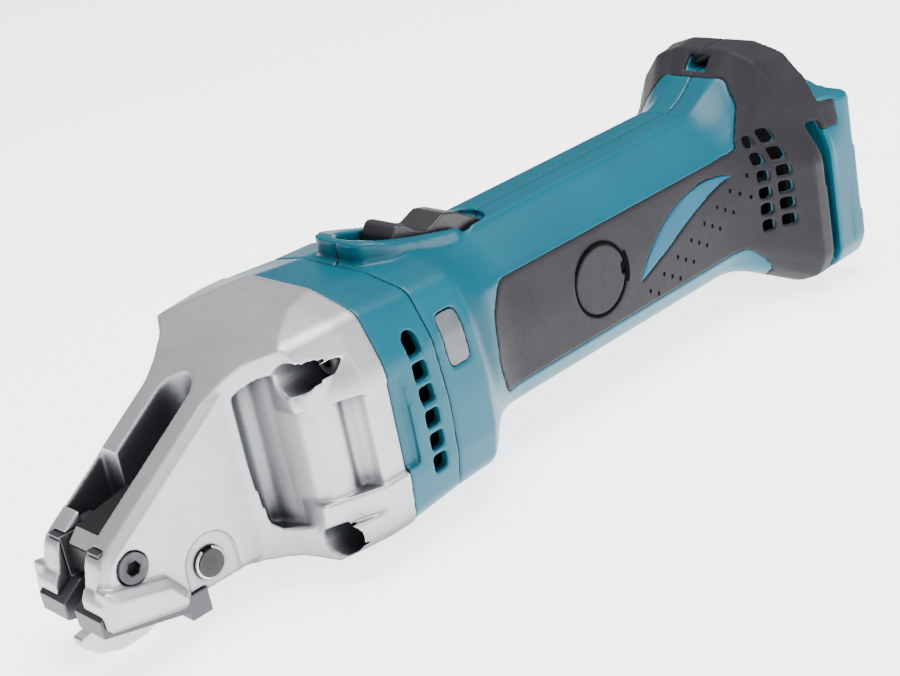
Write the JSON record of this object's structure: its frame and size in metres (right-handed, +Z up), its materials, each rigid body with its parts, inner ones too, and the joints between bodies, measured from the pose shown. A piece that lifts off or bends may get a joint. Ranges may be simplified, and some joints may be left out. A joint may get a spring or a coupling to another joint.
{
  "type": "cordless straight shear",
  "caption": "Barrel-grip cordless double-cut sheet-metal shear: twin-leg yoke with fixed side blades, pivoting centre blade, slide switch and an empty battery seat.",
  "frame": {"origin": "where the motor axis meets the flat rear face of the battery seat", "axes": "+X forward along the motor axis to the blades, +Y the tool's left, +Z up"},
  "size_m": [0.3038, 0.0832, 0.0834],
  "materials": {
    "teal_plastic": "satin",
    "dark_rubber": "matte",
    "silver_casting": "satin",
    "tool_steel": "satin",
    "black_steel": "satin",
    "bright_steel": "polished",
    "bearing_steel": "polished",
    "black_plastic": "matte",
    "lens": "frosted",
    "white_diode": "gloss",
    "brass": "satin",
    "copper": "gloss",
    "carbon": "matte",
    "magnet": "matte",
    "aluminium": "satin",
    "board_green": "satin",
    "red_insulation": "satin"
  },
  "bodies": {
    "tool": {"left_housing": "teal_plastic", "right_housing": "teal_plastic", "front_cover": "teal_plastic", "left_grip_accent": "teal_plastic", "right_grip_accent": "teal_plastic", "left_grip_rubber": "dark_rubber", "right_grip_rubber": "dark_rubber", "left_brush_cap": "black_plastic", "right_brush_cap": "black_plastic", "light_lens": "lens", "light_holder": "black_plastic", "light_led": "white_diode", "left_brush_holder": "brass", "right_brush_holder": "brass", "left_carbon_brush": "carbon", "right_carbon_brush": "carbon", "left_brush_spring": "bearing_steel", "right_brush_spring": "bearing_steel", "left_side_blade": "tool_steel", "right_side_blade": "tool_steel", "housing_screws": "black_steel", "stator_can": "bearing_steel", "stator_magnets": "magnet", "baffle": "black_plastic", "motor_rear_bearing": "bearing_steel", "motor_front_bearing": "bearing_steel", "crank_front_bearing": "bearing_steel", "crank_rear_bush": "bearing_steel", "bearing_plate": "aluminium", "head_housing": "silver_casting", "head_screws": "black_steel", "side_blade_bolts": "black_steel", "blade_pivot_pin": "tool_steel", "retaining_rings": "bright_steel", "switch_body": "black_plastic", "controller_board": "board_green", "terminal_block": "black_plastic", "battery_contacts": "bearing_steel", "power_leads": "red_insulation"},
    "center_blade": {"center_blade": "tool_steel"},
    "armature": {"motor_shaft": "bearing_steel", "armature_core": "tool_steel", "armature_windings": "copper", "commutator": "copper", "cooling_fan": "black_plastic"},
    "crank": {"crank_gear": "tool_steel", "crankshaft": "bearing_steel"},
    "roller": {"crank_roller": "bearing_steel"},
    "switch_slider": {"switch_link": "black_plastic"},
    "switch_button": {"switch_knob": "black_plastic"}
  },
  "joints": [
    {"name": "blade_swing", "type": "hinge", "parent": "tool", "child": "center_blade", "pos_m": [0.2676, 0, -0.0208], "axis": [0, 1, 0], "range_deg": [-2.5, 2.5]},
    {"name": "armature_spin", "type": "hinge", "parent": "tool", "child": "armature", "pos_m": [0.15, 0, 0], "axis": [1, 0, 0], "continuous": true},
    {"name": "crank_spin", "type": "hinge", "parent": "tool", "child": "crank", "pos_m": [0.22, 0, 0.015], "axis": [1, 0, 0], "continuous": true},
    {"name": "roller_spin", "type": "hinge", "parent": "crank", "child": "roller", "pos_m": [0.233, 0.0015, 0.015], "axis": [1, 0, 0], "continuous": true},
    {"name": "switch_slide", "type": "slide", "parent": "tool", "child": "switch_slider", "axis": [1, 0, 0], "range_m": [0, 0.006], "stiffness_N_per_m": 400, "springref_m": -0.003},
    {"name": "switch_rock", "type": "hinge", "parent": "switch_slider", "child": "switch_button", "pos_m": [0.16, 0, 0.0285], "axis": [0, 1, 0], "range_deg": [0, 1.5], "stiffness_Nm_per_rad": 0.4, "springref_deg": -1.72}
  ],
  "couplings": [
    {"joint": "crank_spin", "follows": "armature_spin", "ratio": -0.31579}
  ]
}
